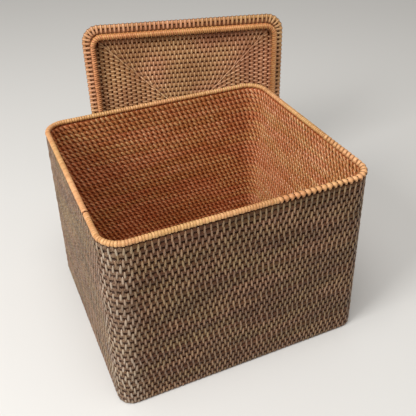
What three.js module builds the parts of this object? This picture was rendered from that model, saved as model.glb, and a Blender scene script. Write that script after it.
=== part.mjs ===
// Woven lidded box: a sewn-coil rattan box with its lid off, standing on edge behind it.
// Millimetres, +Z up. The origin is the middle of the box's underside, and +X runs along its long side.
import * as THREE from "three";

// Box
const BOX_LENGTH = 340; // outside at the rim, along X
const BOX_WIDTH = 302; // outside at the rim, along Y
const CORNER_RADIUS = 30; // outside at the rim, seen from above
const FOOT_CORNER_RADIUS = 20; // outside at the floor, seen from above
const WALL_LEAN = 3.5; // how far the wall leans in from the floor to the rim, on each side
const BOTTOM_ROUND = 6; // how the wall turns under at the floor
const COURSES = 32; // rods stacked in the wall
const COURSE_PITCH = 7.75; // from one course to the next
const WALL_THICKNESS = 7;
const RIM_WIDTH = 6.8;
const RIM_HEIGHT = 6.2;

// Flat coils of the base and of the lid's panel
const COIL_ROD = 7.6; // width of one turn
const COIL_GAP = 0.8; // between two turns
const COIL_PITCH = COIL_ROD + COIL_GAP;
const COIL_BEND = 6; // least corner radius of a turn, on its centre line
const COIL_STEP = 34; // length over which the rod steps in to the next turn
const PANEL_THICKNESS = 7.3;
const TIP_SHARE = 0.13; // width of a coil's pared tip, as a share of the rod
const TIP_REACH = 0.75; // how far the tip runs along the step
const SEED_ROUNDING = 0.9; // corner radius of a coil's seed, as a share of half its width

// Lid
const LID_OVERHANG = 4.5; // past the box's outside, on each side
const LID_CORNER_RADIUS = 30; // outside, seen from above
const EDGE_WIDTH = 8.5;
const EDGE_HEIGHT = 8;
const LIP_CLEARANCE = 2.5; // between the lip and the mouth, on each side
const LIP_WIDTH = 6.8;
const LIP_RING_HEIGHT = 6.2;

// Where the lid stands
const LID_STAND_RIGHT = 107.4; // middle of its foot, from the box's middle
const LID_STAND_BACK = 143; // middle of its foot, from the box's back
const LID_TURN = -14.7; // degrees about +Z
const LID_LEAN = 3.7; // degrees back from upright

// Fits and facets
const SEAT_GAP = 0.3; // between pieces that touch
const BINDING = 0.8; // thickness of the wound peel
const CORNER_STEPS = 3; // facets of a course's corner, and of a coil's outer turns
const RIM_CORNER_STEPS = 5; // facets of a rim's corner
const BEND_STEPS = 2; // facets of a coil's tightest corners

const SHADES = {
  wall: { color: 0x7c624a, roughness: 0.72, metalness: 0 },
  base: { color: 0x96613a, roughness: 0.75, metalness: 0 },
  core: { color: 0x8a5a34, roughness: 0.8, metalness: 0 },
  rim: { color: 0xdcae72, roughness: 0.5, metalness: 0 },
  panel: { color: 0xa67c58, roughness: 0.7, metalness: 0 },
  edge: { color: 0xbe8650, roughness: 0.6, metalness: 0 },
};

function piece(name, geometry, shade) {
  const mesh = new THREE.Mesh(geometry, new THREE.MeshStandardMaterial(SHADES[shade]));
  mesh.name = name;
  return mesh;
}

// Four corner arcs of a rectangle, each a list of points. They run anticlockwise seen from above, from
// the back left corner round to the back right one.
function cornerArcs(length, width, radius, steps) {
  const along = length / 2 - radius;
  const across = width / 2 - radius;
  const centres = [[-along, across], [-along, -across], [along, -across], [along, across]];
  return centres.map(([x, y], corner) => {
    const arc = [];
    for (let step = 0; step <= steps; step++) {
      const angle = (Math.PI / 2) * (corner + 1 + step / steps);
      arc.push(new THREE.Vector2(x + radius * Math.cos(angle), y + radius * Math.sin(angle)));
    }
    return arc;
  });
}

// Sweeps a section along a level path. Section points are [out, up], where out is to the right of the
// path, which is outside on an anticlockwise ring. An open path's two ends are cut to a share of the
// section's width.
function sweep(path, section, closed, endShare = 1) {
  const count = path.length;
  const vertices = [];
  const normalAfter = (i) => {
    const ahead = path[(i + 1) % count].clone().sub(path[i]).normalize();
    return new THREE.Vector2(ahead.y, -ahead.x);
  };
  path.forEach((point, i) => {
    const before = closed || i > 0 ? normalAfter((i + count - 1) % count) : normalAfter(i);
    const after = closed || i < count - 1 ? normalAfter(i) : before;
    const mitre = before.clone().add(after).divideScalar(1 + before.dot(after));
    if (!closed && (i === 0 || i === count - 1)) mitre.multiplyScalar(endShare);
    for (const [out, up] of section) {
      vertices.push(point.x + mitre.x * out, point.y + mitre.y * out, up);
    }
  });

  const sides = section.length;
  const faces = [];
  for (let ring = 0; ring < (closed ? count : count - 1); ring++) {
    const here = ring * sides;
    const next = ((ring + 1) % count) * sides;
    for (let side = 0; side < sides; side++) {
      const beside = (side + 1) % sides;
      faces.push(here + side, next + side, next + beside);
      faces.push(here + side, next + beside, here + beside);
    }
  }
  const last = (count - 1) * sides;
  for (let side = 1; !closed && side < sides - 1; side++) {
    faces.push(0, side, side + 1);
    faces.push(last, last + side + 1, last + side);
  }

  const geometry = new THREE.BufferGeometry();
  geometry.setAttribute("position", new THREE.Float32BufferAttribute(vertices, 3));
  geometry.setIndex(faces);
  geometry.computeVertexNormals();
  return geometry;
}

// A six-sided rod that stands on its flat at height 0.
function rodSection(width, height) {
  return [
    [width / 2, height / 2],
    [width / 4, height],
    [-width / 4, height],
    [-width / 2, height / 2],
    [-width / 4, 0],
    [width / 4, 0],
  ];
}

// A wound peel round three sides of a rod, open below at height 0.
function bindingSection(width, height) {
  const half = width / 2;
  const bevel = width / 4;
  const outside = [[half, 0], [half, height - bevel], [half - bevel, height]];
  const inside = [[half - BINDING, 0], [half - BINDING, height - bevel], [half - bevel, height - BINDING]];
  const mirrored = (points) => points.map(([out, up]) => [-out, up]).reverse();
  return [...outside, ...mirrored(outside), ...mirrored(inside).reverse(), ...inside.reverse()];
}

// A closed ring whose outside measures length by width.
function ring(length, width, radius, thickness, section, steps) {
  const centre = cornerArcs(length - thickness, width - thickness, radius - thickness / 2, steps);
  return sweep(centre.flat(), section, true);
}

// A flat coil of one rod, whose outer turn measures length by width outside. It winds in from the back,
// stepping in by one pitch on the back of each turn, round a seed plate that fills the middle. Its two
// ends are pared to a thin tip that fills the step beside it.
function flatCoil(length, width, radius) {
  const turned = width > length;
  const long = (turned ? width : length) - COIL_ROD;
  const short = (turned ? length : width) - COIL_ROD;
  const turnsAcross = Math.floor(short / (2 * COIL_PITCH));
  const turnsAlong = Math.floor((long - 2 * COIL_BEND - COIL_STEP) / (2 * COIL_PITCH)) + 1;
  const turns = Math.min(turnsAcross, turnsAlong);

  const path = [];
  for (let turn = 0; turn < turns; turn++) {
    const inset = turn * COIL_PITCH;
    const back = short / 2 - inset;
    const bend = Math.max(radius - COIL_ROD / 2 - inset, COIL_BEND);
    const steps = bend > COIL_BEND ? CORNER_STEPS : BEND_STEPS;
    const corners = cornerArcs(long - 2 * inset, short - 2 * inset, bend, steps);
    const stepEnd = new THREE.Vector2(-COIL_STEP / 2, back);
    const stepStart = new THREE.Vector2(COIL_STEP / 2, back);
    path.push(stepEnd, ...corners.flat(), stepStart);
  }
  const tip = new THREE.Vector2(TIP_REACH * COIL_STEP, (COIL_ROD * (1 - TIP_SHARE)) / 2);
  path.unshift(path[0].clone().add(tip));
  path.push(path[path.length - 1].clone().sub(tip));
  const coil = sweep(path, rodSection(COIL_ROD, PANEL_THICKNESS), false, TIP_SHARE);
  coil.rotateZ(turned ? Math.PI / 2 : 0);

  const lost = 2 * turns * COIL_PITCH - COIL_ROD;
  const seed = seedPlate(long - lost, short - lost);
  seed.rotateZ(turned ? Math.PI / 2 : 0);

  const slope = Math.atan2(COIL_PITCH, COIL_STEP);
  console.log("least gap between turns", (COIL_PITCH * Math.cos(slope) - COIL_ROD).toFixed(2), "mm");
  return { coil, seed };
}

// The straight start of a coil: a plate with bevelled edges, standing on height 0.
function seedPlate(length, width) {
  const bevel = PANEL_THICKNESS / 4;
  const radius = Math.min(length, width) / 2;
  const outline = cornerArcs(length, width, radius * SEED_ROUNDING, CORNER_STEPS);
  const geometry = new THREE.ExtrudeGeometry(new THREE.Shape(outline.flat()), {
    depth: PANEL_THICKNESS - 2 * bevel,
    bevelThickness: bevel,
    bevelSize: bevel,
    bevelOffset: -bevel,
    bevelSegments: 1,
  });
  geometry.translate(0, 0, bevel);
  return geometry;
}

// How far a course's outside lies in from the wall's, where the wall turns under at the floor.
function turnUnder(height) {
  const below = Math.max(BOTTOM_ROUND - height, 0);
  return BOTTOM_ROUND - Math.sqrt(BOTTOM_ROUND ** 2 - below ** 2);
}

// A course's outside. The wall leans in as it rises, and its corners grow rounder.
function courseOutline(course) {
  const height = (course + 0.5) * COURSE_PITCH;
  const risen = height / (COURSES * COURSE_PITCH);
  const under = turnUnder(height);
  const out = WALL_LEAN * (1 - risen) - under;
  return {
    length: BOX_LENGTH + 2 * out,
    width: BOX_WIDTH + 2 * out,
    radius: THREE.MathUtils.lerp(FOOT_CORNER_RADIUS, CORNER_RADIUS, risen) - under,
  };
}

// The wall: one rod a course, each a closed ring on the one below.
function wall() {
  const courseHeight = COURSE_PITCH - SEAT_GAP;
  const group = new THREE.Group();
  for (let course = 0; course < COURSES; course++) {
    const { length, width, radius } = courseOutline(course);
    const profile = rodSection(WALL_THICKNESS, courseHeight);
    const geometry = ring(length, width, radius, WALL_THICKNESS, profile, CORNER_STEPS);
    const mesh = piece(`wall_course_${String(course + 1).padStart(2, "0")}`, geometry, "wall");
    mesh.position.z = course * COURSE_PITCH;
    group.add(mesh);
  }
  return group;
}

// The rim: a rod on the top course, under a wound binding.
function rim() {
  const slack = BINDING + SEAT_GAP;
  const rodWidth = RIM_WIDTH - 2 * slack;
  const rod = ring(
    BOX_LENGTH - 2 * slack,
    BOX_WIDTH - 2 * slack,
    CORNER_RADIUS - slack,
    rodWidth,
    rodSection(rodWidth, RIM_HEIGHT - slack),
    RIM_CORNER_STEPS,
  );
  const binding = ring(
    BOX_LENGTH,
    BOX_WIDTH,
    CORNER_RADIUS,
    RIM_WIDTH,
    bindingSection(RIM_WIDTH, RIM_HEIGHT),
    RIM_CORNER_STEPS,
  );
  const group = new THREE.Group();
  group.add(piece("rim_rod", rod, "core"), piece("rim_binding", binding, "rim"));
  group.position.z = COURSES * COURSE_PITCH;
  return group;
}

// The base: a flat coil inside the lowest course.
function base() {
  const { length, width, radius } = courseOutline(0);
  const inset = WALL_THICKNESS + SEAT_GAP;
  const { coil, seed } = flatCoil(length - 2 * inset, width - 2 * inset, radius - inset);
  const group = new THREE.Group();
  group.add(piece("base_coil", coil, "base"), piece("base_seed", seed, "base"));
  return group;
}

// The lid's panel and wound edge. Height 0 is the underside that closes on the rim.
function lidTop() {
  const length = BOX_LENGTH + 2 * LID_OVERHANG;
  const width = BOX_WIDTH + 2 * LID_OVERHANG;
  const radius = LID_CORNER_RADIUS;
  const inset = EDGE_WIDTH + SEAT_GAP;
  const { coil, seed } = flatCoil(length - 2 * inset, width - 2 * inset, radius - inset);

  // The binding opens inwards, so its section lies on its side.
  const onItsSide = ([out, up]) => [up - EDGE_WIDTH / 2, EDGE_HEIGHT / 2 - out];
  const bindingProfile = bindingSection(EDGE_HEIGHT, EDGE_WIDTH).map(onItsSide);
  const binding = ring(length, width, radius, EDGE_WIDTH, bindingProfile, RIM_CORNER_STEPS);

  const slack = BINDING + SEAT_GAP;
  const rodWidth = EDGE_WIDTH - slack;
  const rodProfile = rodSection(rodWidth, EDGE_HEIGHT - 2 * slack).map(([out, up]) => [out, up + slack]);
  const rod = ring(
    length - 2 * slack,
    width - 2 * slack,
    radius - slack,
    rodWidth,
    rodProfile,
    RIM_CORNER_STEPS,
  );

  const group = new THREE.Group();
  group.add(piece("lid_coil", coil, "panel"), piece("lid_seed", seed, "panel"));
  group.add(piece("lid_edge_rod", rod, "core"), piece("lid_edge_binding", binding, "edge"));
  return group;
}

// The lid's lip: one course and a wound ring that hang from the panel and drop into the mouth.
function lidLip() {
  const inset = RIM_WIDTH + LIP_CLEARANCE;
  const length = BOX_LENGTH - 2 * inset;
  const width = BOX_WIDTH - 2 * inset;
  const radius = CORNER_RADIUS - inset;
  const hanging = (section, top) => section.map(([out, up]) => [-out, top - up]);

  const courseHeight = COURSE_PITCH - SEAT_GAP;
  const courseTop = -SEAT_GAP;
  const courseProfile = hanging(rodSection(LIP_WIDTH, courseHeight), courseTop);
  const course = ring(length, width, radius, LIP_WIDTH, courseProfile, RIM_CORNER_STEPS);

  const ringTop = courseTop - COURSE_PITCH;
  const bindingProfile = hanging(bindingSection(LIP_WIDTH, LIP_RING_HEIGHT), ringTop);
  const binding = ring(length, width, radius, LIP_WIDTH, bindingProfile, RIM_CORNER_STEPS);

  const slack = BINDING + SEAT_GAP;
  const rodWidth = LIP_WIDTH - 2 * slack;
  const rodProfile = hanging(rodSection(rodWidth, LIP_RING_HEIGHT - slack), ringTop);
  const rod = ring(
    length - 2 * slack,
    width - 2 * slack,
    radius - slack,
    rodWidth,
    rodProfile,
    RIM_CORNER_STEPS,
  );

  const group = new THREE.Group();
  group.add(piece("lid_lip_course", course, "panel"));
  group.add(piece("lid_lip_rod", rod, "core"), piece("lid_lip_binding", binding, "rim"));
  return group;
}

// The lid stands on one long edge behind the box, with its underside towards the front.
function standingLid() {
  const lid = new THREE.Group();
  lid.add(lidTop(), lidLip());
  const foot = new THREE.Vector3(0, BOX_WIDTH / 2 + LID_OVERHANG, 0);
  lid.rotation.order = "ZYX";
  lid.rotation.set(THREE.MathUtils.degToRad(-90 - LID_LEAN), 0, THREE.MathUtils.degToRad(LID_TURN));
  foot.applyEuler(lid.rotation);
  lid.position.set(LID_STAND_RIGHT, BOX_WIDTH / 2 + LID_STAND_BACK, 0).sub(foot);
  lid.position.z -= new THREE.Box3().setFromObject(lid, true).min.z;
  return lid;
}

const box = new THREE.Group();
box.add(base(), wall(), rim(), standingLid());

export default box;
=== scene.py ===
import math
import random
from collections import namedtuple

import bpy
from mathutils import Matrix, Vector


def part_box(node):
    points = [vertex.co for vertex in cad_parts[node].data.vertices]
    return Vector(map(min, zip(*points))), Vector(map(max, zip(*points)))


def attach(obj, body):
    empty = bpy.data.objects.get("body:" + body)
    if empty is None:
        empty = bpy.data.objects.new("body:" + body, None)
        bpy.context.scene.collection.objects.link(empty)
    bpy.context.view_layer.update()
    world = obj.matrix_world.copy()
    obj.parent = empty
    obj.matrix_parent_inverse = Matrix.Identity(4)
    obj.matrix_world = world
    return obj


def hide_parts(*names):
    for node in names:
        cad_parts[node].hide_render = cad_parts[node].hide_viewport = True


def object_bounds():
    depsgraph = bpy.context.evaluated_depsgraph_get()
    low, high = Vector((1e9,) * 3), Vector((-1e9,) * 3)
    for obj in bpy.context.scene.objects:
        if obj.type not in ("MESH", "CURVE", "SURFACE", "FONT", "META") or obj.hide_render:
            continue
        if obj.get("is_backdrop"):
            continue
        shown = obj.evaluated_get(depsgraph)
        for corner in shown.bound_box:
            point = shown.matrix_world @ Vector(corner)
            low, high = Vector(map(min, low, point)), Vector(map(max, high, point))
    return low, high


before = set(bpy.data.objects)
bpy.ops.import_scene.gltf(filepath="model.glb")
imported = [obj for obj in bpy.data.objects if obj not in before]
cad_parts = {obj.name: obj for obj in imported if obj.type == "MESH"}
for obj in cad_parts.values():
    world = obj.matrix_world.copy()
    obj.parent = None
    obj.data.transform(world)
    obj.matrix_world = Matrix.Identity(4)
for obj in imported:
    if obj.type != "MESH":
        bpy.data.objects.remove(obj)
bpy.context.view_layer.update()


# Base: one rattan rod wound flat into a rectangular coil round a short start. Narrow strips of split peel
# are looped round each turn and through the turn inside it, which sews the coil together.


class Wire:
    """An output socket of a node tree. Arithmetic on it adds Math nodes to the tree."""

    def __init__(self, tree, socket=None):
        self.tree = tree
        self.socket = socket

    def node(self, kind, settings=None, sockets=None, output=0):
        """Adds any node: its settings first, then its sockets' values or links, and gives one output. A list
        is for a socket that takes several links."""
        node = self.tree.nodes.new(kind)
        for name, value in (settings or {}).items():
            setattr(node, name, value)
        for key, value in (sockets or {}).items():
            for item in value if isinstance(value, list) else [value]:
                if isinstance(item, Wire):
                    self.tree.links.new(item.socket, node.inputs[key])
                else:
                    node.inputs[key].default_value = item
        return Wire(self.tree, node.outputs[output] if len(node.outputs) else None)

    def other(self, output):
        """Another output of the same node."""
        return Wire(self.tree, self.socket.node.outputs[output])

    def maths(self, operation, *others):
        return self.node("ShaderNodeMath", {"operation": operation}, dict(enumerate([self, *others])))

    def vector(self, operation, other):
        return self.node("ShaderNodeVectorMath", {"operation": operation}, {0: self, 1: other})

    def mix(self, first, second):
        """A colour between two, by this value. The node takes colours at 6 and 7 and gives one at 2."""
        return self.node("ShaderNodeMix", {"data_type": "RGBA"}, {0: self, 6: first, 7: second}, 2)

    def ramp(self, low, high):
        """0 below low, 1 above high, and smooth between them."""
        sockets = {"Value": self, "From Min": low, "From Max": high}
        return self.node("ShaderNodeMapRange", {"interpolation_type": "SMOOTHSTEP"}, sockets)

    def __add__(self, other):
        return self.maths("ADD", other)

    def __sub__(self, other):
        return self.maths("SUBTRACT", other)

    def __rsub__(self, other):
        return self.node("ShaderNodeMath", {"operation": "SUBTRACT"}, {0: other, 1: self})

    def __mul__(self, other):
        return self.maths("MULTIPLY", other)

    __radd__ = __add__
    __rmul__ = __mul__


def srgb(red, green, blue):
    """A colour as a picture shows it, 0 to 255, as a shader takes it. No colour here is dark enough for the
    straight foot of the curve."""
    linear = [((v / 255 + 0.055) / 1.055) ** 2.4 for v in (red, green, blue)]
    return (*linear, 1.0)


def start_finish(name):
    """An empty material, and a wire to add its nodes with."""
    material = bpy.data.materials.new(name)
    material.use_nodes = True
    material.node_tree.nodes.clear()
    return material, Wire(material.node_tree)


def carried(wire, name):
    """A value that the mesh carries."""
    return wire.node("ShaderNodeAttribute", {"attribute_name": name}, output="Fac")


FIBRE_RELIEF = 0.0004


def close_finish(wire, colour, roughness, relief=None, shine=0.5):
    """Ends a material in its one shader. relief is the height of the fibres, from 0 to 1."""
    sockets = {"Base Color": colour, "Roughness": roughness, "Specular IOR Level": shine}
    if relief:
        sockets["Normal"] = wire.node("ShaderNodeBump", {}, {"Distance": FIBRE_RELIEF, "Height": relief})
    surface = wire.node("ShaderNodeBsdfPrincipled", {}, sockets)
    wire.node("ShaderNodeOutputMaterial", {}, {"Surface": surface})


MOOD_SHARE = 0.5
MOOD_RANGE = (0.32, 0.68)
TINT_RANGE = (0.35, 0.65)
REDDISH = (1.05, 0.945, 0.96, 1.0)
OLIVE = (0.98, 1.02, 0.88, 1.0)


def worked_colour(wire, own, outside, inside):
    """The colour by the piece's own tone and the mood of the work, which changes slowly along it and is
    redder here and more olive there. outside and inside are pairs of colours, deep and pale."""
    mood = carried(wire, "mood").ramp(*MOOD_RANGE)
    lightness = own * (1 - MOOD_SHARE) + mood * MOOD_SHARE
    colour = carried(wire, "inner").mix(lightness.mix(*outside), lightness.mix(*inside))
    return colour.vector("MULTIPLY", carried(wire, "tint").ramp(*TINT_RANGE).mix(REDDISH, OLIVE))


def painted_sheen_colour(wire, colour, share, edge, within, sheen_colour):
    """The colour with a share of a pale one beside an upright edge of the box: a painted sheen, which stands
    for the glossy highlight there. within gives how far from the edge the painted sheen is full, and where it
    ends."""
    level = wire.node("ShaderNodeTexCoord", output="Object").vector("MULTIPLY", (1, 1, 0))
    apart = wire.node("ShaderNodeVectorMath", {"operation": "DISTANCE"}, {0: level, 1: edge}, "Value")
    return ((1 - apart.ramp(*within)) * share).mix(colour, sheen_colour)


FIBRE_WAVES = (0.6, 5, 0)  # to a strip's width, along and across
FIBRE_APART = 40
FIBRE_DETAIL = 3.0
FIBRE_RANGE = (0.45, 0.75)
FIBRE_SHADE = 0.2
FIBRE_ROUGHNESS = 0.25
# Painted shade at a strip's edges, where it rounds away and meets the next one.
EDGE_RANGE = (0.4, 1.05)
EDGE_SHADE = 0.35
# Painted shade where a strip dives into the work, by its crown.
DIVE_SHADE_RANGE = (0.3, 0.9)
DIVE_SHADE = 0.65
# How strongly strips of each tone take the painted sheen, a pale wash that stands for a highlight.
PAINTED_SHEEN_TONES = (0.0, 0.6)
PAINTED_SHEEN_PEEL = 0.5


def peel_finish(name, outside, shade_colour, roughness, inside=None, shine=0.5, painted_sheen=None, edges=EDGE_SHADE):
    """Split peel: fine fibres along the strip, its own tone for each strip, and painted shade at its edges
    and where it dives into the work, both mixed toward the shade colour, as the darker fibres are. inside is
    given where it differs from outside. The painted sheen, if given, is an edge, how far from it a pale wash
    reaches, and its colour: a painted highlight."""
    material, wire = start_finish(name)
    tone = carried(wire, "tone")
    strip = wire.node("ShaderNodeUVMap", {"uv_map": "strip"})
    across = wire.node("ShaderNodeSeparateXYZ", {}, {0: strip}, "Y").maths("ABSOLUTE")

    shift = wire.node("ShaderNodeCombineXYZ", {}, {"Z": tone * FIBRE_APART})
    drawn = strip.vector("MULTIPLY", FIBRE_WAVES).vector("ADD", shift)
    fibre = wire.node("ShaderNodeTexNoise", {}, {"Vector": drawn, "Scale": 1.0, "Detail": FIBRE_DETAIL})

    colour = worked_colour(wire, tone, outside, inside or outside)
    # Painted sheen: a pale wash beside the given edge, which stands for a highlight.
    if painted_sheen:
        colour = painted_sheen_colour(wire, colour, tone.ramp(*PAINTED_SHEEN_TONES) * PAINTED_SHEEN_PEEL, *painted_sheen)
    sunk = 1 - carried(wire, "crown").ramp(*DIVE_SHADE_RANGE)
    shade = across.ramp(*EDGE_RANGE) * edges + fibre.ramp(*FIBRE_RANGE) * FIBRE_SHADE + sunk * DIVE_SHADE
    close_finish(wire, shade.mix(colour, shade_colour), roughness + fibre * FIBRE_ROUGHNESS, fibre, shine)
    return material


STREAK_WAVES = 600.0
STREAK_DETAIL = 2.0
STREAK_RANGE = (0.3, 0.7)
STREAK_ROUGHNESS = 0.3
ROD_ROUGHNESS = 0.28
ROD_SHINE = 0.15
# How strongly a stained rod takes the painted sheen.
PAINTED_SHEEN_ROD = 0.6
# Painted shade on a rod: round the holes, in the grooves, and on a sunk rod.
HOLE_RANGE = (0.25, 0.75)
HOLE_SPREAD = 0.55  # how much further the dark goes up the rod's face at a hole
UPPER_SPREAD = 0.1  # and above the rod
GROOVE_RANGE = (0.75, 0.93)
# Painted shade on a sunk rod, which lies deep under the strips.
SUNK_RANGE = (1.5, 1.8)
SUNK_SHADE = 0.6


def rod_finish(name, outside, shade_colour, inside=None, inner_shade_colour=None, aslant=False, painted_sheen=None):
    """The rod between the strips: bare wood, stained and streaked, with painted shade in the grooves
    beside it. The painted shade spreads round the holes that the strips are drawn through: over its own
    strips, and under it halfway between them, or the other way about on an inner face where the strips run
    aslant. A sunk rod takes painted shade as well, and the rod may take the painted sheen."""
    material, wire = start_finish(name)
    place = wire.node("ShaderNodeTexCoord", output="Object")
    grain = {"Vector": place, "Scale": STREAK_WAVES, "Detail": STREAK_DETAIL}
    streak = wire.node("ShaderNodeTexNoise", {}, grain)
    stain = streak.ramp(*STREAK_RANGE)
    colour = worked_colour(wire, stain, outside, inside or outside)
    # Painted sheen: a pale wash beside the given edge, which stands for a highlight.
    if painted_sheen:
        colour = painted_sheen_colour(wire, colour, stain * PAINTED_SHEEN_ROD, *painted_sheen)

    sewn = carried(wire, "reach")
    if aslant:
        sewn = (carried(wire, "inner") - sewn).maths("ABSOLUTE")
    upper = carried(wire, "upper")
    # Painted shade round the holes and in the grooves, mixed toward the shadow colour.
    hole = (upper * sewn + (1 - upper) * (1 - sewn)).ramp(*HOLE_RANGE)
    raised = carried(wire, "crown") - upper * UPPER_SPREAD + (1 - hole) * HOLE_SPREAD
    unshaded = raised.ramp(*GROOVE_RANGE) * (1 - carried(wire, "press").ramp(*SUNK_RANGE) * SUNK_SHADE)
    shadow = carried(wire, "inner").mix(shade_colour, inner_shade_colour or shade_colour)
    roughness = ROD_ROUGHNESS + streak * STREAK_ROUGHNESS
    close_finish(wire, (1 - unshaded).mix(colour, shadow), roughness, streak, ROD_SHINE)
    return material


STRIP_WIDTH = 0.0038
STRIP_THICKNESS = 0.0008
STRIP_FLAT = 0.22  # half of the part that isn't bevelled, in widths
# How far down a wound strip goes before it takes painted shade, as a sewn strip does where it dives in.
WOUND_FROM = -0.4  # how far down a wound strip shows, in half heights


def strip_loop(name, width, face, reach, dip, points=12, squareness=0.65, waist=0.5, edge=STRIP_THICKNESS,
               spread=1.0, slant=0.0, inner_dip=None, sewn=True):
    """A strip of peel, thicker in the middle than at its edges, closed into a loop round a rod at the origin.
    X runs along the rod, Y through to its two faces, and Z away from the rod it is sewn to. On the inner
    face the strip is broader by spread, its ends lie off to either side by slant, and inner_dip takes the
    place of dip. A sewn strip dives into the work at both ends, and a wound one shows all round but below."""
    section = [(-0.5, 1), (-STRIP_FLAT, 0), (STRIP_FLAT, 0), (0.5, 1)]

    def rounded(value):
        return math.copysign(abs(value) ** squareness, value)

    vertices, crown, inner, along = [], [], [], [0]
    for point in range(points):
        angle = 2 * math.pi * (point + 0.5) / points
        y = rounded(math.cos(angle))
        z = rounded(math.sin(angle))
        depth = inner_dip if inner_dip and y > 0 else dip
        half_height = (reach + depth) / 2
        middle = (reach - depth) / 2
        outward = Vector((face * math.cos(angle), half_height * math.sin(angle))).normalized()
        narrowing = (1 - (1 - waist) * z ** 2) * (spread if y > 0 else 1)
        aside = slant * z if y > 0 else 0.0
        for across, sinking in section:
            side = y * face - outward.x * sinking * edge
            up = middle + z * half_height - outward.y * sinking * edge
            vertices.append((aside + across * width * narrowing, side, up))
            # crown sets the painted shade where the strip dives into the work; a wound strip takes it only
            # low down.
            crown.append(abs(y) if sewn or z < WOUND_FROM else 1)
            inner.append(1 if y > 0 else 0)
        along.append(along[-1] + 2 * (face + half_height) / points / width)

    sides = len(section)
    faces, uvs = [], []
    for point in range(points):
        for side in range(sides):
            beside = (side + 1) % sides
            following = (point + 1) % points
            corners = [(point, side), (point, beside), (following, beside), (following, side)]
            faces.append([p * sides + s for p, s in corners])
            for p, s in corners:
                uvs.append((along[point if p == point else point + 1], 2 * section[s][0]))

    mesh = bpy.data.meshes.new(name)
    mesh.from_pydata(vertices, [], faces)
    mesh.attributes.new("crown", "FLOAT", "POINT").data.foreach_set("value", crown)
    mesh.attributes.new("inner", "FLOAT", "POINT").data.foreach_set("value", inner)
    layer = mesh.uv_layers.new(name="strip")
    for loop, uv in zip(layer.data, uvs):
        loop.uv = uv
    mesh.shade_smooth()
    return bpy.data.objects.new(name, mesh)


ROD_SIDES = 10
WOBBLE = 0.0005
WOBBLE_WAVES = 11.0  # to a metre
MOOD_WAVES = 12.0
MOOD_APART = 0.1  # between the moods of two seeds
NOISE_MIDDLE = (0.5, 0.5, 0.5)
STRIP_LEAST = (0.86, 0.95, 0.98)  # the smallest and the largest a strip may be, in width, depth and length
STRIP_MOST = (1.14, 1.05, 1.02)


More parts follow.
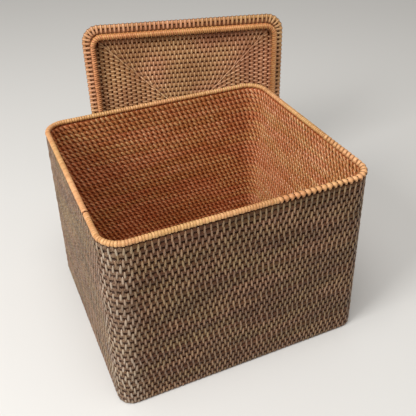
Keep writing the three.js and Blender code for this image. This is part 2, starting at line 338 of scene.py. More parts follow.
def sewn_rod_tree():
    """Lays a rod along a path and loops strips round it at points of the path. The points carry girth, how
    thick the rod is, press, how much flatter, reach, how long the strip is where there is one, and splay,
    how far it is turned out of square. With no rod depth there is no rod."""
    tree = bpy.data.node_groups.new("sewn_rod", "GeometryNodeTree")
    tree.is_modifier = True
    inputs = [
        ("Path", "Geometry"), ("Strip", "Object"), ("Roll", "Float"), ("Yaw", "Float"), ("Wander", "Vector"),
        ("Rod depth", "Float"), ("Rod height", "Float"), ("Seed", "Int"), ("Rod material", "Material"),
        ("Strip material", "Material"),
    ]
    for name, kind in inputs:
        tree.interface.new_socket(name, in_out="INPUT", socket_type=f"NodeSocket{kind}")
    tree.interface.new_socket("Piece", in_out="OUTPUT", socket_type="NodeSocketGeometry")

    wire = Wire(tree)
    first_input = wire.node("NodeGroupInput")
    given = {name: first_input.other(name) for name, _ in inputs}

    def on_path(name):
        return wire.node("GeometryNodeInputNamedAttribute", {"data_type": "FLOAT"}, {"Name": name})

    def random_between(low, high, draw, kind="FLOAT"):
        """A random value for each strip, by its draw. Each kind has sockets of its own."""
        first, output = {"FLOAT_VECTOR": (0, 0), "FLOAT": (2, 1)}[kind]
        sockets = {first: low, first + 1: high, "Seed": given["Seed"] + draw}
        return wire.node("FunctionNodeRandomValue", {"data_type": kind}, sockets, output)

    def store(geometry, name, value, domain="POINT"):
        sockets = {"Geometry": geometry, "Name": name, "Value": value}
        return wire.node("GeometryNodeStoreNamedAttribute", {"data_type": "FLOAT", "domain": domain}, sockets)

    # The path, a little uneven, with slow changes of mood and tint along it.
    position = wire.node("GeometryNodeInputPosition")
    sockets = {"Vector": position, "Scale": WOBBLE_WAVES, "Detail": 1.0}
    wave = wire.node("ShaderNodeTexNoise", {}, sockets, "Color").vector("SUBTRACT", NOISE_MIDDLE)
    wave = wire.node("ShaderNodeVectorMath", {"operation": "SCALE"}, {0: wave, "Scale": WOBBLE})
    path = wire.node("GeometryNodeMeshToCurve", {}, {"Mesh": given["Path"]})
    path = wire.node("GeometryNodeSetCurveNormal", {"mode": "Z_UP"}, {"Curve": path})
    path = wire.node("GeometryNodeSetPosition", {}, {"Geometry": path, "Offset": wave})
    apart = wire.node("ShaderNodeCombineXYZ", {}, {"Z": given["Seed"] * MOOD_APART})
    patch = position.vector("MULTIPLY", (MOOD_WAVES, MOOD_WAVES, MOOD_WAVES)).vector("ADD", apart)
    mood = wire.node("ShaderNodeTexNoise", {}, {"Vector": patch, "Scale": 1.0, "Detail": 1.0})
    path = store(path, "mood", mood)
    path = store(path, "tint", wire.node("ShaderNodeSeparateXYZ", {}, {0: mood.other("Color")}, "Y"))

    # The rod, with how far each point lies from the grooves beside it, and on which side, for the painted
    # shade in its finish.
    circle = wire.node("GeometryNodeCurvePrimitiveCircle", {}, {"Resolution": ROD_SIDES, "Radius": 1.0})
    angle = wire.node("GeometryNodeSplineParameter") * (2 * math.pi)
    facing = angle.maths("COSINE")
    circle = store(circle, "crown", facing.maths("ABSOLUTE"))
    circle = store(circle, "inner", facing.maths("LESS_THAN", 0.0))
    circle = store(circle, "upper", angle.maths("SINE").maths("LESS_THAN", 0.0))
    size = {"X": given["Rod depth"] * 0.5, "Y": given["Rod height"] * 0.5, "Z": 1.0}
    scale = wire.node("ShaderNodeCombineXYZ", {}, size)
    profile = wire.node("GeometryNodeTransform", {}, {"Geometry": circle, "Scale": scale})
    roll = wire.node("ShaderNodeCombineXYZ", {}, {"Z": given["Roll"]})
    profile = wire.node("GeometryNodeTransform", {}, {"Geometry": profile, "Rotation": roll})
    sockets = {"Curve": path, "Profile Curve": profile, "Scale": on_path("girth"), "Fill Caps": True}
    rod = wire.node("GeometryNodeCurveToMesh", {}, sockets)
    pressed = wire.node("ShaderNodeCombineXYZ", {}, {"X": 1.0, "Y": 1.0, "Z": on_path("press")})
    flatter = position.vector("DIVIDE", pressed)
    rod = wire.node("GeometryNodeSetPosition", {}, {"Geometry": rod, "Position": flatter})
    rod = wire.node("GeometryNodeSetShadeSmooth", {}, {"Geometry": rod})
    rod = wire.node("GeometryNodeSetMaterial", {}, {"Geometry": rod, "Material": given["Rod material"]})
    present = given["Rod depth"].maths("GREATER_THAN", 0.0)
    rod = wire.node("GeometryNodeSwitch", {"input_type": "GEOMETRY"}, {"Switch": present, "True": rod})

    # The strips, one on each point that has a reach.
    points = wire.node("GeometryNodeCurveToPoints", {"mode": "EVALUATED"}, {"Curve": path}, "Points")
    sockets = {"Primary Axis": points.other("Tangent"), "Secondary Axis": (0, 0, 1)}
    aligned = wire.node("FunctionNodeAxesToRotation", {"primary_axis": "X", "secondary_axis": "Z"}, sockets)
    backwards = given["Wander"].vector("MULTIPLY", (-1, -1, -1))
    stray = random_between(backwards, given["Wander"], 1, "FLOAT_VECTOR")
    lean = wire.node("ShaderNodeCombineXYZ", {}, {"Y": on_path("splay"), "Z": given["Yaw"]})
    lean = lean.vector("ADD", stray)
    rolled = wire.node("ShaderNodeCombineXYZ", {}, {"X": given["Roll"]})
    for angles in (rolled, lean):
        turning = wire.node("FunctionNodeEulerToRotation", {}, {"Euler": angles})
        sockets = {"Rotation": aligned, "Rotate By": turning}
        aligned = wire.node("FunctionNodeRotateRotation", {"rotation_space": "LOCAL"}, sockets)
    strip = wire.node("GeometryNodeObjectInfo", {}, {"Object": given["Strip"]}, "Geometry")
    stretch = random_between(STRIP_LEAST, STRIP_MOST, 2, "FLOAT_VECTOR")
    reach = wire.node("ShaderNodeCombineXYZ", {}, {"X": 1.0, "Y": 1.0, "Z": on_path("reach")})
    sockets = {
        "Points": points, "Instance": strip, "Rotation": aligned, "Scale": stretch.vector("MULTIPLY", reach),
        "Selection": on_path("reach").maths("GREATER_THAN", 0.0),
    }
    strips = wire.node("GeometryNodeInstanceOnPoints", {}, sockets)
    strips = store(strips, "tone", random_between(0.0, 1.0, 3), "INSTANCE")
    strips = wire.node("GeometryNodeRealizeInstances", {}, {"Geometry": strips})
    sockets = {"Geometry": strips, "Material": given["Strip material"]}
    strips = wire.node("GeometryNodeSetMaterial", {}, sockets)

    whole = wire.node("GeometryNodeJoinGeometry", {}, {"Geometry": [rod, strips]})
    wire.node("NodeGroupOutput", {}, {"Piece": whole})
    return tree


PathPoint = namedtuple("PathPoint", "spot girth press reach splay")
SQUEEZE = 0.03


def path_point(spot, sewn=True, breadth=1.0, press=1.0, splay=0.0):
    """A point of a rod's centre line. A strip squeezes the rod a little, and it swells between two strips."""
    girth = breadth * (1 - SQUEEZE if sewn else 1 + SQUEEZE)
    return PathPoint(spot, girth, press, breadth if sewn else 0.0, splay)


def corner_spot(corner, x, y):
    """A corner of a level rectangle, counted anticlockwise from the back left one."""
    return Vector((-x if corner in (0, 1) else x, -y if corner in (1, 2) else y, 0))


SEWING_SPACING = 0.0075
COIL_ROD = 0.0076
COIL_PITCH = 0.0084
COIL_BEND = 0.006
COIL_STEP = 0.034  # the length over which a turn steps in to the next one
TIP_REACH = 0.75  # the pared tip's length, in steps
TIP_SHARE = 0.13  # the tip's thickness, in rods
CORNER_ROOM = 0.55  # the least room between a strip and a bend, in spacings
MITRE_SPLAY = 0.55  # the most that a strip is splayed at a sharp corner
MITRE_REACH = 0.03
SUNK = 2.0  # how much flatter a sunk rod is
SUNK_BREADTH = 1.25


def coil_turns(length, width):
    """How many turns a flat coil has whose outside measures length by width."""
    across = math.floor((width - COIL_ROD) / (2 * COIL_PITCH))
    along = math.floor((length - COIL_ROD - 2 * COIL_BEND - COIL_STEP) / (2 * COIL_PITCH)) + 1
    return min(across, along)


def coil_path(length, width, radius, sunk_edge=False):
    """The centre line of a flat coil whose outside measures length by width, wound in from the back. Its ends
    are pared to a tip. Where it turns a corner sharply the rod spreads and the strips beside it are splayed.
    The outer turn may be sunk, where the edge's strips are what holds it."""
    path = []
    turns = coil_turns(length, width)
    for turn in range(turns):
        inset = COIL_ROD / 2 + turn * COIL_PITCH
        half_sizes = (length / 2 - inset, width / 2 - inset)
        bend = max(radius - inset, 0)
        sharpness = 1 - min(1, bend / COIL_PITCH)
        shift = SEWING_SPACING / 2 * (turn % 2)
        sewn_turn = turn > 0 or not sunk_edge
        press = 1.0 if sewn_turn else SUNK
        breadth = 1.0 if sewn_turn else SUNK_BREADTH

        def run(heading, lowest, highest):
            """Strips along one side, counted from its middle, so that they miss those of the next turn."""
            forward = Vector((math.cos(heading), math.sin(heading), 0))
            outward = Vector((forward.y, -forward.x, 0))
            endwise = abs(outward.x) > abs(outward.y)
            side = outward * half_sizes[0 if endwise else 1]
            half = half_sizes[1 if endwise else 0]
            count = 2 * math.ceil(half / SEWING_SPACING)
            for place in range(-count, count + 1):
                along = place * SEWING_SPACING / 2 + shift
                from_bend = half - bend - abs(along)
                if from_bend > SEWING_SPACING * CORNER_ROOM and lowest <= along <= highest:
                    near = sharpness * max(0, 1 - from_bend / MITRE_REACH)
                    splay = math.copysign(MITRE_SPLAY * near, along)
                    sewn = sewn_turn and place % 2 == 0
                    path.append(path_point(side + forward * along, sewn, breadth, press, splay))

        back = half_sizes[1]
        if turn == 0:
            tip = Vector((COIL_STEP * (TIP_REACH - 0.5), back + COIL_ROD * (1 - TIP_SHARE) / 2, 0))
            path.append(path_point(tip, sewn=False, breadth=TIP_SHARE))
        run(math.pi, COIL_STEP / 2, math.inf)
        for corner in range(4):
            start = math.pi / 2 * (corner + 1)
            centre = corner_spot(corner, half_sizes[0] - bend, half_sizes[1] - bend)
            count = 2 * max(1, round(math.pi / 2 * bend / SEWING_SPACING))
            spread = 1 + (math.sqrt(2) - 1) * sharpness
            for step in range(1, count):
                angle = start + math.pi / 2 * step / count
                swing = Vector((math.cos(angle), math.sin(angle), 0)) * bend
                sewn = sewn_turn and step % 2 == 1
                path.append(path_point(centre + swing, sewn, breadth * spread, press * spread))
            if corner < 3:
                run(start + math.pi, -math.inf, math.inf)
        run(math.pi, -math.inf, -COIL_STEP / 2)
        if turn < turns - 1:
            steps = 2 * round(COIL_STEP / SEWING_SPACING)
            for step in range(1, steps):
                share = step / steps
                spot = Vector((COIL_STEP * (0.5 - share), back - COIL_PITCH * share, 0))
                path.append(path_point(spot, sewn_turn and (step + turn) % 2 == 1, breadth, press))
        else:
            tip = Vector((COIL_STEP * (0.5 - TIP_REACH), back - COIL_ROD * (1 - TIP_SHARE) / 2, 0))
            path.append(path_point(tip, sewn=False, breadth=TIP_SHARE))
    return path


def sewn_piece(name, path, place, closed=False, **sizes):
    """Runs the sewn-rod tree along a path and leaves a plain mesh, put in its place. sizes are the tree's
    inputs by name, with small letters and underscores."""
    count = len(path)
    spots, *carried_values = zip(*path)
    mesh = bpy.data.meshes.new(name)
    mesh.from_pydata(spots, [(i, (i + 1) % count) for i in range(count if closed else count - 1)], [])
    for attribute, values in zip(PathPoint._fields[1:], carried_values):
        mesh.attributes.new(attribute, "FLOAT", "POINT").data.foreach_set("value", values)
    piece = bpy.data.objects.new(name, mesh)
    bpy.context.scene.collection.objects.link(piece)

    modifier = piece.modifiers.new("sewing", "NODES")
    modifier.node_group = sewn_rod
    for socket in sewn_rod.interface.items_tree:
        size = sizes.get(socket.name.lower().replace(" ", "_"))
        if size is not None:
            modifier[socket.identifier] = size
    depsgraph = bpy.context.evaluated_depsgraph_get()
    plain = bpy.data.meshes.new_from_object(piece.evaluated_get(depsgraph), preserve_all_data_layers=True,
                                            depsgraph=depsgraph)
    piece.modifiers.remove(modifier)
    piece.data = plain
    plain.transform(place)
    return piece


FOOT_CORNER_RADIUS = 0.020
WALL_THICKNESS = 0.007
PANEL_THICKNESS = 0.0073
PANEL_STRIP_POINTS = 10
PANEL_DIP = 0.0026
PANEL_WANDER = (0.03, 0.12, 0.05)
STRIP_TUCK = 0.0004
ROD_OVERLAP = 0.0007

sewn_rod = sewn_rod_tree()
# The outer faces' colours are the weathered outside's own, made darker as painted shade. The inner faces' are
# the sheltered inside's own, made paler as painted light, as little lamp light gets into the box.
weathered_shaded_rod = (srgb(80, 50, 31), srgb(116, 80, 52))
weathered_shaded_peel = (srgb(116, 86, 57), srgb(178, 141, 100))
# The colour that painted shade is mixed toward on the outer faces.
outer_face_shade = srgb(62, 36, 20)
sheltered_lit_rod = (srgb(140, 72, 36), srgb(182, 107, 64))
sheltered_lit_peel = (srgb(200, 129, 80), srgb(228, 175, 126))
# The colour that painted shade is mixed toward on the inner faces.
inner_face_shade = srgb(136, 66, 30)
base_rod = rod_finish("base_rod", weathered_shaded_rod, outer_face_shade, sheltered_lit_rod, inner_face_shade)
base_peel = peel_finish("base_peel", weathered_shaded_peel, srgb(84, 44, 24), roughness=0.4, inside=sheltered_lit_peel)

base_low, base_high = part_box("base_coil")
base_size = base_high - base_low
half_pitch = COIL_PITCH / 2
panel_strip = strip_loop("panel_strip", STRIP_WIDTH, PANEL_THICKNESS / 2, half_pitch - STRIP_TUCK,
                         half_pitch + PANEL_DIP, PANEL_STRIP_POINTS)
panel_sewing = {
    "strip": panel_strip,
    "roll": math.pi / 2,
    "wander": PANEL_WANDER,
    "rod_depth": PANEL_THICKNESS - STRIP_THICKNESS,
    "rod_height": COIL_PITCH + ROD_OVERLAP,
}
base_materials = {"rod_material": base_rod, "strip_material": base_peel}
on_floor = Matrix.Translation((0, 0, PANEL_THICKNESS / 2))
path = coil_path(base_size.x, base_size.y, FOOT_CORNER_RADIUS - WALL_THICKNESS)
base = sewn_piece("base_coil_sewn", path, on_floor, seed=11, **panel_sewing, **base_materials)
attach(base, "box")
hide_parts("base_coil")


# Start of the base coil: a short straight length of rod in the middle of the floor, wound with strips.
# The coil's last turn lies round it, and these strips sew the two together.


def seed_path(length, width):
    """The centre line of a coil's start, from right to left, with a strip at either end."""
    end = (length - width) / 2
    count = 2 * max(1, round(2 * end / SEWING_SPACING))
    spots = [Vector((end - 2 * end * step / count, 0, 0)) for step in range(count + 1)]
    return [path_point(spot, number % 2 == 0) for number, spot in enumerate(spots)]


def seed_sewing(width):
    """The sewing of a coil's start, whose rod is as thick as the coil leaves room for."""
    half_rod = width / 2
    strip = strip_loop("seed_strip", STRIP_WIDTH, PANEL_THICKNESS / 2, half_rod, half_rod + PANEL_DIP)
    return {**panel_sewing, "strip": strip, "rod_height": width + ROD_OVERLAP}


seed_low, seed_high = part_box("base_seed")
seed_size = seed_high - seed_low
path = seed_path(seed_size.x, seed_size.y)
base_seed = sewn_piece("base_seed_sewn", path, on_floor, seed=12, **seed_sewing(seed_size.y),
                       **base_materials)
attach(base_seed, "box")
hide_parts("base_seed")


# Wall: thirty-two rods, each bent to a rounded rectangle and laid on the one below. Every strip goes
# round its own rod and down through the rod below, between two strips of that course. It is upright
# outside and runs aslant inside, where it goes on to the next stitch.

COURSES = 32
RIM_CORNER_RADIUS = 0.030
WALL_STRIP_WIDTH = 0.0035
WALL_DIP = 0.0055
WALL_WANDER = (0.0, 0.14, 0.05)
WALL_SHINE = 0.6
INNER_DIP = 0.0031
INNER_SPREAD = 1.62
INNER_SLANT = 0.0029
COURSE_SHIFT = 0.5  # from one course to the next, in spacings
SHIFT_STRAY = 0.12
SHIFT_SEED = 5
WALL_SEED = 100
SEED_STEP = 5
# The front left edge takes a painted sheen out to these distances: a pale wash that stands for the glossy
# highlight there.
FRONT_LEFT_EDGE = (-0.166, -0.147, 0)
PAINTED_SHEEN_WITHIN = (0.008, 0.036)


def ring_path(length, width, radius, thickness, spacing=SEWING_SPACING, phase=0.0):
    """The centre line of a closed level ring whose outside measures length by width, anticlockwise from the
    back left corner, with evenly spaced strips. phase moves them along, in spacings."""
    bend = radius - thickness / 2
    half_sizes = (length / 2 - radius, width / 2 - radius)
    arc = math.pi / 2 * bend
    legs = []
    for corner in range(4):
        centre = corner_spot(corner, *half_sizes)
        legs += [(arc, corner, centre), (2 * half_sizes[(corner + 1) % 2], corner, centre)]
    around = sum(leg[0] for leg in legs)
    count = 2 * round(around / spacing)
    path = []
    for step in range(count):
        left = (step + 2 * phase) % count * around / count
        for number, (leg_length, corner, centre) in enumerate(legs):
            if left <= leg_length:
                break
            left -= leg_length
        turned_by = math.pi / 2 * (corner + (left / arc + 1 if number % 2 == 0 else 2))
        outward = Vector((math.cos(turned_by), math.sin(turned_by), 0))
        spot = centre + outward * bend
        if number % 2:
            spot += Vector((-outward.y, outward.x, 0)) * left
        path.append(path_point(spot, step % 2 == 0))
    return path


# The wall's outer colours are weathered ones made darker as painted shade, its inner ones paler as painted
# light.
wall_rod = rod_finish(
    "wall_rod",
    (srgb(76, 48, 32), srgb(110, 77, 53)),
    outer_face_shade,
    sheltered_lit_rod,
    inner_face_shade,
    aslant=True,
    # painted sheen, pale grey, for the glossy highlight by the front left edge
    painted_sheen=(FRONT_LEFT_EDGE, PAINTED_SHEEN_WITHIN, srgb(166, 142, 118)),
)
wall_peel = peel_finish(
    "wall_peel",
    (srgb(110, 84, 59), srgb(168, 135, 100)),
    srgb(70, 42, 26),
    roughness=0.10,
    inside=sheltered_lit_peel,
    shine=WALL_SHINE,
    # painted sheen, pale grey, for the glossy highlight by the front left edge
    painted_sheen=(FRONT_LEFT_EDGE, PAINTED_SHEEN_WITHIN, srgb(208, 192, 172)),
)
course_shift = random.Random(SHIFT_SEED)
phase = 0.0
for course in range(1, COURSES + 1):
    node = f"wall_course_{course:02d}"
    low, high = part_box(node)
    size = high - low
    half_height = size.z / 2
    radius = FOOT_CORNER_RADIUS + (RIM_CORNER_RADIUS - FOOT_CORNER_RADIUS) * course / COURSES
    dip = WALL_DIP if course > 1 else 0
    wall_strip = strip_loop(
        "wall_strip", WALL_STRIP_WIDTH, WALL_THICKNESS / 2, half_height - STRIP_TUCK, half_height + dip,
        spread=INNER_SPREAD, slant=INNER_SLANT, inner_dip=half_height + min(dip, INNER_DIP),
    )
    path = ring_path(size.x, size.y, radius, WALL_THICKNESS, phase=phase)
    piece = sewn_piece(
        f"{node}_sewn", path, Matrix.Translation((0, 0, low.z + half_height)), closed=True,
        seed=WALL_SEED + SEED_STEP * course, strip=wall_strip, wander=WALL_WANDER,
        rod_depth=WALL_THICKNESS - STRIP_THICKNESS, rod_height=size.z + ROD_OVERLAP,
        rod_material=wall_rod, strip_material=wall_peel,
    )
    phase += COURSE_SHIFT + course_shift.uniform(-SHIFT_STRAY, SHIFT_STRAY)
    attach(piece, "box")
    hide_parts(node)


# Rim: a thin rod on the top course, wound closely with smooth peel. Every second turn of the winding goes
# down through the top course and holds the rim on. One turn is lost on the left.

RIM_WIDTH = 0.0068
RIM_SPACING = 0.0072
RIM_STRIP_WIDTH = 0.0050
RIM_DIP = 0.0006
RIM_LEAN = 0.2
WOUND_LOOP = {"points": 16, "squareness": 0.95, "waist": 1.0, "sewn": False}
WOUND_WANDER = (0.02, 0.04, 0.05)
# Stronger painted shade at the edges of wound turns, which draws dark lines between the turns.
WOUND_EDGE_SHADE = 0.6
LOST_TURN_Y = -0.077
ROUGH_FROM_X = 0.039
ROUGH_TO_Y = -0.045

rim_rod = rod_finish("rim_rod", (srgb(130, 78, 42), srgb(170, 112, 66)), srgb(60, 32, 18))
rim_peel = peel_finish(
    "rim_peel",
    (srgb(196, 140, 86), srgb(230, 180, 124)),
    srgb(92, 54, 28),
    roughness=0.32,
    edges=WOUND_EDGE_SHADE,
)


def wound_rough(spot):
    """Whether a place on the rim lies round the right front corner, where the winding is a rougher one."""
    return spot.x > ROUGH_FROM_X and spot.y < ROUGH_TO_Y


def lost(spot):
    """Whether a place on the rim is the one on the left that has lost its turn."""
    return spot.x < 0 and abs(spot.y - LOST_TURN_Y) < RIM_SPACING / 4


def wound_ring(names, ring, place, width, height, dip, lean, seed, materials, roll=0.0, yaw=0.0,
               missing=lambda spot: False):
    """A rod wound with two sets of turns: plain ones, which come with the rod, and ones that also go through
    the course beside it."""
    pieces = []
    face = width / 2 / math.cos(yaw)
    rod_depth = width - 3 * STRIP_THICKNESS
    for name, phase, depth, set_dip in zip(names, (0.0, 0.5), (rod_depth, 0.0), (0, dip)):
        turn = strip_loop("turn", RIM_STRIP_WIDTH, face, height / 2, height / 2 + set_dip, **WOUND_LOOP)
        path = [
            point._replace(reach=0.0 if missing(point.spot) else point.reach, splay=lean)
            for point in ring(phase)
        ]
        pieces.append(sewn_piece(
            name, path, place, closed=True, seed=seed, strip=turn, roll=roll, yaw=yaw, wander=WOUND_WANDER,
            rod_depth=depth, rod_height=height - 2 * STRIP_THICKNESS, **materials,
        ))
        seed += SEED_STEP
    return pieces


rim_materials = {"rod_material": rim_rod, "strip_material": rim_peel}
rim_low, rim_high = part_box("rim_binding")
rim_size = rim_high - rim_low
half_rim = rim_size.z / 2
rim_place = Matrix.Translation((0, 0, rim_low.z + half_rim))


def rim_ring(phase):
    return ring_path(rim_size.x, rim_size.y, RIM_CORNER_RADIUS, RIM_WIDTH, RIM_SPACING, phase)


rim_winding, rim_sewing = wound_ring(
    ("rim_winding", "rim_sewing"), rim_ring, rim_place, RIM_WIDTH, rim_size.z, RIM_DIP, RIM_LEAN, seed=400,
    materials=rim_materials, missing=lambda spot: wound_rough(spot) or lost(spot),
)
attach(rim_winding, "box")
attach(rim_sewing, "box")
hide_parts("rim_rod", "rim_binding")


# Rough winding: round the right front corner the rim is wound with broader, rounder peel, set aslant like
# the lay of a rope. Each turn goes down into the top course.

ROUGH_STRIP_WIDTH = 0.0076
ROUGH_STRIP_EDGE = 0.0014
ROUGH_DIP = 0.0012
ROUGH_LEAN = -0.35
ROUGH_YAW = 0.6
ROUGH_WANDER = (0.02, 0.06, 0.08)

rough_face = RIM_WIDTH / 2 / math.cos(ROUGH_YAW)
rough_turn = strip_loop("rough_turn", ROUGH_STRIP_WIDTH, rough_face, half_rim, half_rim + ROUGH_DIP,
                        edge=ROUGH_STRIP_EDGE, **WOUND_LOOP)
path = [point._replace(splay=ROUGH_LEAN) for point in rim_ring(0.0) if wound_rough(point.spot)]
rough = sewn_piece("rim_rough_winding", path, rim_place, seed=410, strip=rough_turn, yaw=ROUGH_YAW,
                   wander=ROUGH_WANDER, **rim_materials)
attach(rough, "box")


# Lid panel: a flat coil like the base, with its own start. The lid is off the box and stands on one long
# edge behind it, leaning back, with its underside to the front.

LID_LENGTH = 0.349
LID_WIDTH = 0.311
LID_CORNER_RADIUS = 0.030
LID_TURN = math.radians(-14.7)
LID_LEAN = math.radians(3.7)
EDGE_WIDTH = 0.0085
EDGE_HEIGHT = 0.008
SEAT_GAP = 0.0003

turned = Matrix.Rotation(LID_TURN, 4, "Z") @ Matrix.Rotation(-math.pi / 2 - LID_LEAN, 4, "X")
edge_low, edge_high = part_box("lid_edge_binding")
lid_middle = (edge_low + edge_high) / 2 - turned @ Vector((0, 0, EDGE_HEIGHT / 2))
lid_place = Matrix.Translation(lid_middle) @ turned


def on_lid(height):
    """The place of a lid piece that lies at a height above the lid's underside."""
    return lid_place @ Matrix.Translation((0, 0, height))


# The face that is inside in the base is the lid's outer one, so here it takes the weathered colours,
# darkened as painted shade.
lid_rod = rod_finish(
    "lid_rod",
    (srgb(132, 86, 57), srgb(182, 130, 92)),
    srgb(92, 44, 18),
    weathered_shaded_rod,
    outer_face_shade,
)
lid_peel = peel_finish(
    "lid_peel",
    (srgb(172, 120, 84), srgb(230, 182, 140)),
    srgb(100, 58, 34),
    roughness=0.34,
    inside=weathered_shaded_peel,
)
lid_materials = {"rod_material": lid_rod, "strip_material": lid_peel}
border = EDGE_WIDTH + SEAT_GAP
panel_length = LID_LENGTH - 2 * border
panel_width = LID_WIDTH - 2 * border
panel_place = on_lid(PANEL_THICKNESS / 2)
path = coil_path(panel_length, panel_width, LID_CORNER_RADIUS - border, sunk_edge=True)
lid_panel = sewn_piece("lid_coil_sewn", path, panel_place, seed=21, **panel_sewing, **lid_materials)
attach(lid_panel, "lid")
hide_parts("lid_coil")

taken = 2 * coil_turns(panel_length, panel_width) * COIL_PITCH
seed_width = panel_width - taken
path = seed_path(panel_length - taken, seed_width)
lid_seed = sewn_piece("lid_seed_sewn", path, panel_place, seed=22, **seed_sewing(seed_width), **lid_materials)
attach(lid_seed, "lid")
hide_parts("lid_seed")


# Lid edge: a thick rod round the panel, whipped with strips of peel that are set apart. They reach over the
# panel's sunk outer turn to the lip, so dark gaps show between them, where the sunk turn also takes painted
# shade.

EDGE_STRIP_WIDTH = 0.0044
EDGE_DIP = 0.0062
EDGE_LOOP = {"points": 16, "squareness": 0.62, "waist": 0.95}
EDGE_WANDER = (0.02, 0.05, 0.05)

edge_rod = rod_finish("edge_rod", (srgb(168, 118, 76), srgb(208, 158, 110)), srgb(80, 42, 22))
edge_peel = peel_finish(
    "edge_peel",
    (srgb(192, 138, 96), srgb(232, 184, 140)),
    srgb(120, 72, 40),
    roughness=0.36,
)
half_edge = EDGE_WIDTH / 2
edge_strip = strip_loop("edge_strip", EDGE_STRIP_WIDTH, EDGE_HEIGHT / 2, half_edge, half_edge + EDGE_DIP,
                        **EDGE_LOOP)
path = ring_path(LID_LENGTH, LID_WIDTH, LID_CORNER_RADIUS, EDGE_WIDTH)
lid_edge = sewn_piece(
    "lid_edge_whipped", path, on_lid(EDGE_HEIGHT / 2), closed=True, seed=31, strip=edge_strip,
    roll=math.pi / 2, wander=EDGE_WANDER, rod_depth=EDGE_HEIGHT - 2 * STRIP_THICKNESS,
    rod_height=EDGE_WIDTH - 2 * STRIP_THICKNESS, rod_material=edge_rod, strip_material=edge_peel,
)
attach(lid_edge, "lid")
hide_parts("lid_edge_rod", "lid_edge_binding")


# Lid lip: one course sewn under the panel, and a wound ring on that, made as the box's rim is. The lip
# drops into the box's mouth when the lid is on.

LIP_LENGTH = 0.3214
LIP_WIDTH = 0.2834
LIP_CORNER_RADIUS = 0.0207
LIP_THICKNESS = 0.0068
LIP_COURSE_HEIGHT = 0.00745
LIP_COURSE_PHASE = 0.25
LIP_RING_THICKNESS = 0.0080
LIP_RING_HEIGHT = 0.0062
LIP_DIP = 0.002
LIP_LEAN = 0.35
LIP_YAW = 0.4
LIP_WANDER = (0.02, 0.1, 0.05)

lip_rod = rod_finish("lip_rod", (srgb(186, 122, 74), srgb(220, 160, 106)), srgb(120, 64, 32))
lip_peel = peel_finish(
    "lip_peel",
    (srgb(190, 122, 70), srgb(220, 158, 102)),
    srgb(88, 48, 24),
    roughness=0.34,
    edges=WOUND_EDGE_SHADE,
)
lip_materials = {"rod_material": lip_rod, "strip_material": lip_peel}


def lip_ring(phase, thickness=LIP_RING_THICKNESS):
    return ring_path(LIP_LENGTH, LIP_WIDTH, LIP_CORNER_RADIUS, thickness, RIM_SPACING, phase)


half_course = LIP_COURSE_HEIGHT / 2
lip_strip = strip_loop("lip_strip", STRIP_WIDTH, LIP_THICKNESS / 2, half_course, half_course + LIP_DIP)
path = lip_ring(LIP_COURSE_PHASE, LIP_THICKNESS)
lip_course = sewn_piece(
    "lid_lip_course_sewn", path, on_lid(-SEAT_GAP - half_course), closed=True, seed=41, strip=lip_strip,
    roll=math.pi, wander=LIP_WANDER, rod_depth=LIP_THICKNESS - STRIP_THICKNESS,
    rod_height=LIP_COURSE_HEIGHT + ROD_OVERLAP, **lip_materials,
)
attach(lip_course, "lid")
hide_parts("lid_lip_course")

ring_middle = -2 * SEAT_GAP - LIP_COURSE_HEIGHT - LIP_RING_HEIGHT / 2
lip_winding, lip_sewing = wound_ring(
    ("lid_lip_winding", "lid_lip_sewing"), lip_ring, on_lid(ring_middle), LIP_RING_THICKNESS,
    LIP_RING_HEIGHT, LIP_DIP, LIP_LEAN, seed=500, materials=lip_materials, roll=math.pi, yaw=LIP_YAW,
)
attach(lip_winding, "lid")
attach(lip_sewing, "lid")
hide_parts("lid_lip_rod", "lid_lip_binding")


# Floor and light: a plain pale sheet under the box, one broad soft lamp from the left, a weaker one from
# above, and even light from all round.

FLOOR_SIZE = 14.0
LAMP_AIM = Vector((0, 0, 0.15))
EVEN_COLOUR = (1.0, 0.98, 0.95, 1.0)
EVEN_STRENGTH = 0.38

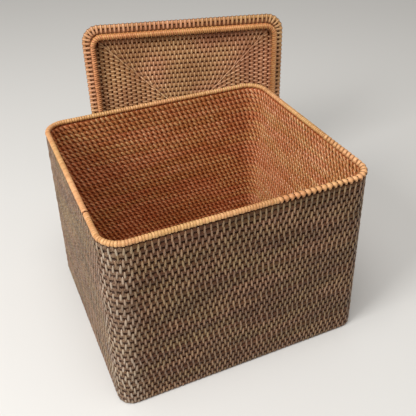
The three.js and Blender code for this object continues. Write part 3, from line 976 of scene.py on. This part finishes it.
floor_finish, wire = start_finish("pale_floor")
close_finish(wire, srgb(222, 220, 216), roughness=0.7)
corners = [corner_spot(corner, FLOOR_SIZE / 2, FLOOR_SIZE / 2) for corner in range(4)]
mesh = bpy.data.meshes.new("floor")
mesh.from_pydata(corners, [], [(0, 1, 2, 3)])
mesh.materials.append(floor_finish)
floor = bpy.data.objects.new("floor", mesh)
bpy.context.scene.collection.objects.link(floor)
floor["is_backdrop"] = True


def soft_lamp(name, place, size, power):
    """A square lamp that is turned to the box."""
    lamp = bpy.data.lights.new(name, "AREA")
    lamp.shape = "SQUARE"
    lamp.size = size
    lamp.energy = power
    holder = bpy.data.objects.new(name, lamp)
    holder.location = place
    holder.rotation_euler = (LAMP_AIM - Vector(place)).to_track_quat("-Z", "Y").to_euler()
    bpy.context.scene.collection.objects.link(holder)


soft_lamp("lamp_left", place=(-1.75, -0.45, 1.5), size=0.9, power=33)
soft_lamp("lamp_above", place=(-0.35, -0.45, 2.1), size=1.2, power=23)

world = bpy.data.worlds.new("even_light")
world.use_nodes = True
background = world.node_tree.nodes["Background"]
background.inputs["Color"].default_value = EVEN_COLOUR
background.inputs["Strength"].default_value = EVEN_STRENGTH
bpy.context.scene.world = world
bpy.context.scene.view_settings.view_transform = "Standard"


# Camera: in front of the box and to the left of it, looking down into it from above the rim. Its place, its
# turn and its lens are fitted to the outlines of the box and of the lid.

CAMERA_PLACE = (-0.2509, -0.6103, 0.6280)
CAMERA_YAW = math.radians(23.3)
CAMERA_PITCH = math.radians(35.5)
CAMERA_ROLL = math.radians(-1.1)
SENSOR_WIDTH = 36.0
FOCAL_LENGTH = 50.7
LENS_SHIFT = (0.0048, -0.0024)

lens = bpy.data.cameras.new("camera")
lens.sensor_width = SENSOR_WIDTH
lens.lens = FOCAL_LENGTH
lens.shift_x, lens.shift_y = LENS_SHIFT
camera = bpy.data.objects.new("camera", lens)
heading = Matrix.Rotation(-CAMERA_YAW, 4, "Z") @ Matrix.Rotation(math.pi / 2 - CAMERA_PITCH, 4, "X")
camera.matrix_world = Matrix.Translation(CAMERA_PLACE) @ heading @ Matrix.Rotation(CAMERA_ROLL, 4, "Z")
bpy.context.scene.collection.objects.link(camera)
bpy.context.scene.camera = camera


low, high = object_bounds()
